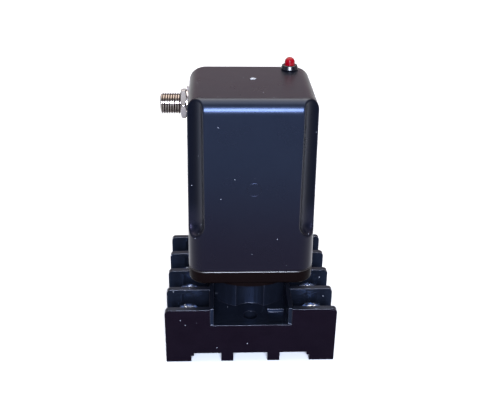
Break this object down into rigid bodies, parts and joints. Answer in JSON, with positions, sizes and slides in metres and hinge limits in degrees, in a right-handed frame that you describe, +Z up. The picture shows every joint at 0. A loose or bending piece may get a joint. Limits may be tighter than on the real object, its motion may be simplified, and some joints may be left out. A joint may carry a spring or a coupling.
{
  "type": "plug-in pressure switch",
  "caption": "Tall square plug-in pressure switch with fluted corners, side threaded port and red lamp, seated in a low barrier-walled screw-terminal socket.",
  "frame": {"origin": "centre of the surface that the socket's feet stand on, midway between the barrier walls", "axes": "+Z up, away from the mounting surface; -Y is the front; the pressure port points along -X"},
  "size_m": [0.0508, 0.0444, 0.0831],
  "materials": {
    "socket_plastic": "satin",
    "header_plastic": "satin",
    "cover_plastic": "semi-gloss",
    "contact_brass": "tinned",
    "clamp_steel": "zinc plated",
    "screw_steel": "zinc plated",
    "pin_brass": "nickel plated",
    "port_nickel": "nickel plated brass",
    "lamp_red": "diffused",
    "bezel_black": "gloss",
    "lead_wire": "tinned",
    "seal_rubber": "matte",
    "capsule_metal": "machined",
    "small_screws": "zinc plated",
    "pusher_acetal": "satin",
    "spring_steel": "drawn",
    "switch_case_plastic": "satin",
    "tab_silver": "silver plated",
    "bracket_steel": "zinc plated",
    "board_laminate": "satin",
    "resistor_paint": "lacquered",
    "wire_pvc": "satin",
    "tube_rubber": "smooth"
  },
  "bodies": {
    "socket": {"socket_body": "socket_plastic", "bottom_plate": "socket_plastic", "contact_1": "contact_brass", "contact_2": "contact_brass", "contact_3": "contact_brass", "contact_4": "contact_brass", "contact_5": "contact_brass", "contact_6": "contact_brass", "contact_7": "contact_brass", "contact_8": "contact_brass"},
    "module": {"plug_header": "header_plastic", "plug_pins": "pin_brass", "cover": "cover_plastic", "lamp": "lamp_red", "lamp_bezel": "bezel_black", "lamp_ring": "bezel_black", "lamp_leads": "lead_wire", "port_fitting": "port_nickel", "port_nut": "port_nickel", "port_lock_washer": "port_nickel", "port_seal": "seal_rubber", "capsule_top": "capsule_metal", "capsule_base": "capsule_metal", "diaphragm": "seal_rubber", "capsule_screws": "small_screws", "switch_case": "switch_case_plastic", "lever_pin": "spring_steel", "switch_tabs": "tab_silver", "switch_bracket": "bracket_steel", "switch_screws": "small_screws", "bracket_screws": "small_screws", "circuit_board": "board_laminate", "resistor": "resistor_paint", "hookup_wires": "wire_pvc", "pressure_tube": "tube_rubber", "return_spring": "spring_steel"},
    "pusher": {"pusher": "pusher_acetal"},
    "lever": {"switch_lever": "spring_steel"},
    "button": {"switch_button": "pusher_acetal"},
    "clamp_1": {"clamp_plate_1": "clamp_steel"},
    "screw_1": {"terminal_screw_1": "screw_steel"},
    "clamp_2": {"clamp_plate_2": "clamp_steel"},
    "screw_2": {"terminal_screw_2": "screw_steel"},
    "clamp_3": {"clamp_plate_3": "clamp_steel"},
    "screw_3": {"terminal_screw_3": "screw_steel"},
    "clamp_4": {"clamp_plate_4": "clamp_steel"},
    "screw_4": {"terminal_screw_4": "screw_steel"},
    "clamp_5": {"clamp_plate_5": "clamp_steel"},
    "screw_5": {"terminal_screw_5": "screw_steel"},
    "clamp_6": {"clamp_plate_6": "clamp_steel"},
    "screw_6": {"terminal_screw_6": "screw_steel"},
    "clamp_7": {"clamp_plate_7": "clamp_steel"},
    "screw_7": {"terminal_screw_7": "screw_steel"},
    "clamp_8": {"clamp_plate_8": "clamp_steel"},
    "screw_8": {"terminal_screw_8": "screw_steel"}
  },
  "joints": [
    {"name": "module_unplug", "type": "slide", "parent": "socket", "child": "module", "axis": [0, 0, 1], "range_m": [0, 0.016]},
    {"name": "pusher_stroke", "type": "slide", "parent": "module", "child": "pusher", "axis": [0, 0, -1], "range_m": [0, 0.0008], "stiffness_N_per_m": 400, "springref_m": -0.0005, "deforming": ["return_spring", "diaphragm"]},
    {"name": "lever_swing", "type": "hinge", "parent": "module", "child": "lever", "pos_m": [-0.007, -0.002, 0.041], "axis": [0, 1, 0], "range_deg": [0, 8.5]},
    {"name": "button_press", "type": "slide", "parent": "module", "child": "button", "axis": [0, 0, -1], "range_m": [0, 0.00055]},
    {"name": "clamp_lift_1", "type": "slide", "parent": "socket", "child": "clamp_1", "axis": [0, 0, 1], "range_m": [0, 0.002]},
    {"name": "screw_turn_1", "type": "hinge", "parent": "clamp_1", "child": "screw_1", "pos_m": [0.0184, -0.01597, 0.0124], "axis": [0, 0, 1], "range_deg": [0, 1441]},
    {"name": "clamp_lift_2", "type": "slide", "parent": "socket", "child": "clamp_2", "axis": [0, 0, 1], "range_m": [0, 0.002]},
    {"name": "screw_turn_2", "type": "hinge", "parent": "clamp_2", "child": "screw_2", "pos_m": [0.0184, -0.00532, 0.0124], "axis": [0, 0, 1], "range_deg": [0, 1441]},
    {"name": "clamp_lift_3", "type": "slide", "parent": "socket", "child": "clamp_3", "axis": [0, 0, 1], "range_m": [0, 0.002]},
    {"name": "screw_turn_3", "type": "hinge", "parent": "clamp_3", "child": "screw_3", "pos_m": [0.0184, 0.00532, 0.0124], "axis": [0, 0, 1], "range_deg": [0, 1441]},
    {"name": "clamp_lift_4", "type": "slide", "parent": "socket", "child": "clamp_4", "axis": [0, 0, 1], "range_m": [0, 0.002]},
    {"name": "screw_turn_4", "type": "hinge", "parent": "clamp_4", "child": "screw_4", "pos_m": [0.0184, 0.01597, 0.0124], "axis": [0, 0, 1], "range_deg": [0, 1441]},
    {"name": "clamp_lift_5", "type": "slide", "parent": "socket", "child": "clamp_5", "axis": [0, 0, 1], "range_m": [0, 0.002]},
    {"name": "screw_turn_5", "type": "hinge", "parent": "clamp_5", "child": "screw_5", "pos_m": [-0.0184, -0.01597, 0.0124], "axis": [0, 0, 1], "range_deg": [0, 1441]},
    {"name": "clamp_lift_6", "type": "slide", "parent": "socket", "child": "clamp_6", "axis": [0, 0, 1], "range_m": [0, 0.002]},
    {"name": "screw_turn_6", "type": "hinge", "parent": "clamp_6", "child": "screw_6", "pos_m": [-0.0184, -0.00532, 0.0124], "axis": [0, 0, 1], "range_deg": [0, 1441]},
    {"name": "clamp_lift_7", "type": "slide", "parent": "socket", "child": "clamp_7", "axis": [0, 0, 1], "range_m": [0, 0.002]},
    {"name": "screw_turn_7", "type": "hinge", "parent": "clamp_7", "child": "screw_7", "pos_m": [-0.0184, 0.00532, 0.0124], "axis": [0, 0, 1], "range_deg": [0, 1441]},
    {"name": "clamp_lift_8", "type": "slide", "parent": "socket", "child": "clamp_8", "axis": [0, 0, 1], "range_m": [0, 0.002]},
    {"name": "screw_turn_8", "type": "hinge", "parent": "clamp_8", "child": "screw_8", "pos_m": [-0.0184, 0.01597, 0.0124], "axis": [0, 0, 1], "range_deg": [0, 1441]}
  ],
  "couplings": [
    {"joint": "lever_swing", "follows": "pusher_stroke", "rad_per_m": 181.82},
    {"joint": "button_press", "follows": "pusher_stroke", "ratio": 0.63636},
    {"joint": "screw_turn_1", "follows": "clamp_lift_1", "rad_per_m": 12566},
    {"joint": "screw_turn_2", "follows": "clamp_lift_2", "rad_per_m": 12566},
    {"joint": "screw_turn_3", "follows": "clamp_lift_3", "rad_per_m": 12566},
    {"joint": "screw_turn_4", "follows": "clamp_lift_4", "rad_per_m": 12566},
    {"joint": "screw_turn_5", "follows": "clamp_lift_5", "rad_per_m": 12566},
    {"joint": "screw_turn_6", "follows": "clamp_lift_6", "rad_per_m": 12566},
    {"joint": "screw_turn_7", "follows": "clamp_lift_7", "rad_per_m": 12566},
    {"joint": "screw_turn_8", "follows": "clamp_lift_8", "rad_per_m": 12566}
  ]
}
